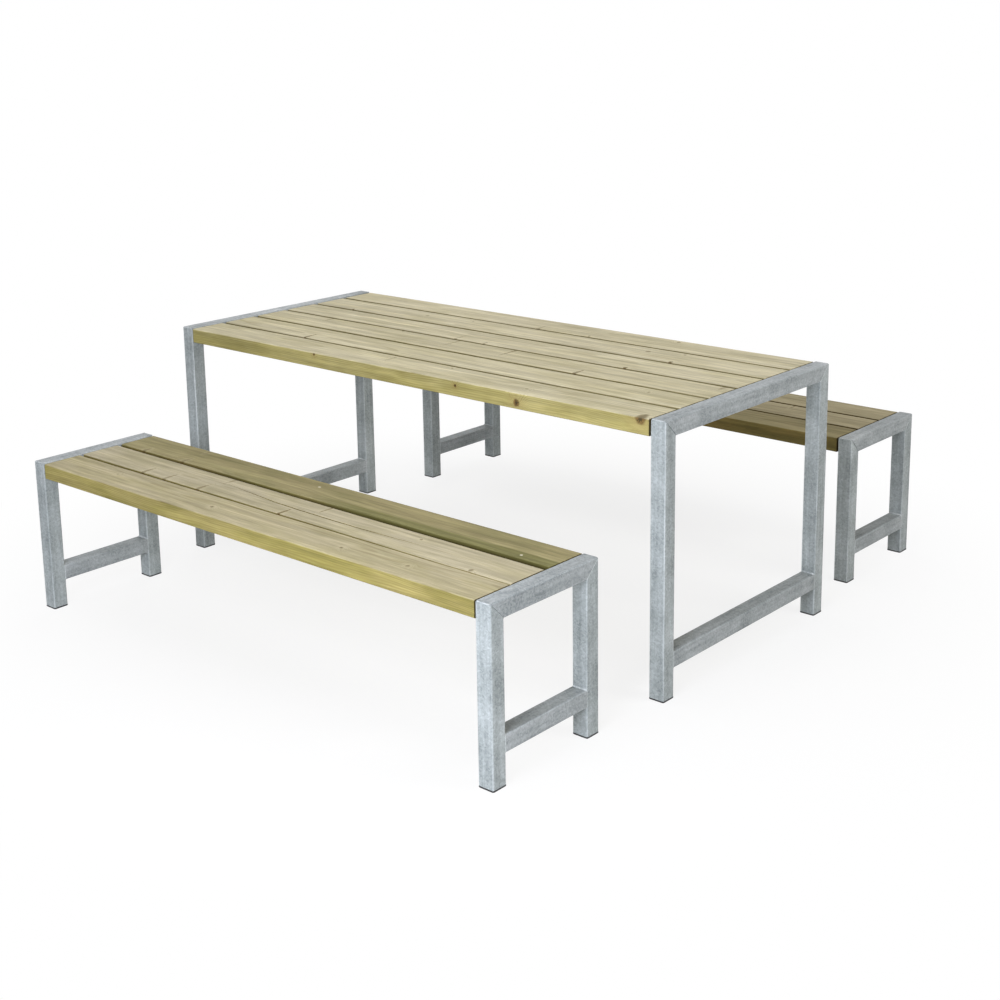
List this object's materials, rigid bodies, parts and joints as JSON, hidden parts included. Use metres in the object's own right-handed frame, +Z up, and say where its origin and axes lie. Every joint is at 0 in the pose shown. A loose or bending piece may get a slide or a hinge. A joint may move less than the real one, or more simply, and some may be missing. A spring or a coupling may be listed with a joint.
{
  "type": "table and bench set",
  "caption": "Outdoor plank table with matching loose benches; mitred square-tube end frames of galvanised steel carry treated softwood planks and stand on plastic feet.",
  "frame": {"origin": "on the floor, under the middle of the bounding box of the whole set", "axes": "+X along the planks, +Y from the front bench to the rear bench, +Z up"},
  "size_m": [1.861, 2.018, 0.73],
  "materials": {
    "galvanised_steel": "hot-dip galvanised, matt, mottled",
    "treated_pine": "planed, pressure treated, uncoated",
    "zinc_screws": "zinc plated",
    "black_plastic": "moulded polyethylene"
  },
  "bodies": {
    "root": {"table_left_front_leg": "galvanised_steel", "table_left_rear_leg": "galvanised_steel", "table_left_top_rail": "galvanised_steel", "table_left_stretcher": "galvanised_steel", "table_left_bearer": "galvanised_steel", "table_right_front_leg": "galvanised_steel", "table_right_rear_leg": "galvanised_steel", "table_right_top_rail": "galvanised_steel", "table_right_stretcher": "galvanised_steel", "table_right_bearer": "galvanised_steel", "table_plank_1": "treated_pine", "table_plank_2": "treated_pine", "table_plank_3": "treated_pine", "table_plank_4": "treated_pine", "table_plank_5": "treated_pine", "table_plank_6": "treated_pine", "table_cross_bar": "galvanised_steel", "table_feet": "black_plastic", "table_bearer_screws": "zinc_screws", "table_bar_screws": "zinc_screws", "front_bench_left_front_leg": "galvanised_steel", "front_bench_left_rear_leg": "galvanised_steel", "front_bench_left_top_rail": "galvanised_steel", "front_bench_left_stretcher": "galvanised_steel", "front_bench_left_bearer": "galvanised_steel", "front_bench_right_front_leg": "galvanised_steel", "front_bench_right_rear_leg": "galvanised_steel", "front_bench_right_top_rail": "galvanised_steel", "front_bench_right_stretcher": "galvanised_steel", "front_bench_right_bearer": "galvanised_steel", "front_bench_plank_1": "treated_pine", "front_bench_plank_2": "treated_pine", "front_bench_plank_3": "treated_pine", "front_bench_cross_bar": "galvanised_steel", "front_bench_feet": "black_plastic", "front_bench_bearer_screws": "zinc_screws", "front_bench_bar_screws": "zinc_screws", "rear_bench_left_front_leg": "galvanised_steel", "rear_bench_left_rear_leg": "galvanised_steel", "rear_bench_left_top_rail": "galvanised_steel", "rear_bench_left_stretcher": "galvanised_steel", "rear_bench_left_bearer": "galvanised_steel", "rear_bench_right_front_leg": "galvanised_steel", "rear_bench_right_rear_leg": "galvanised_steel", "rear_bench_right_top_rail": "galvanised_steel", "rear_bench_right_stretcher": "galvanised_steel", "rear_bench_right_bearer": "galvanised_steel", "rear_bench_plank_1": "treated_pine", "rear_bench_plank_2": "treated_pine", "rear_bench_plank_3": "treated_pine", "rear_bench_cross_bar": "galvanised_steel", "rear_bench_feet": "black_plastic", "rear_bench_bearer_screws": "zinc_screws", "rear_bench_bar_screws": "zinc_screws"}
  },
  "joints": []
}
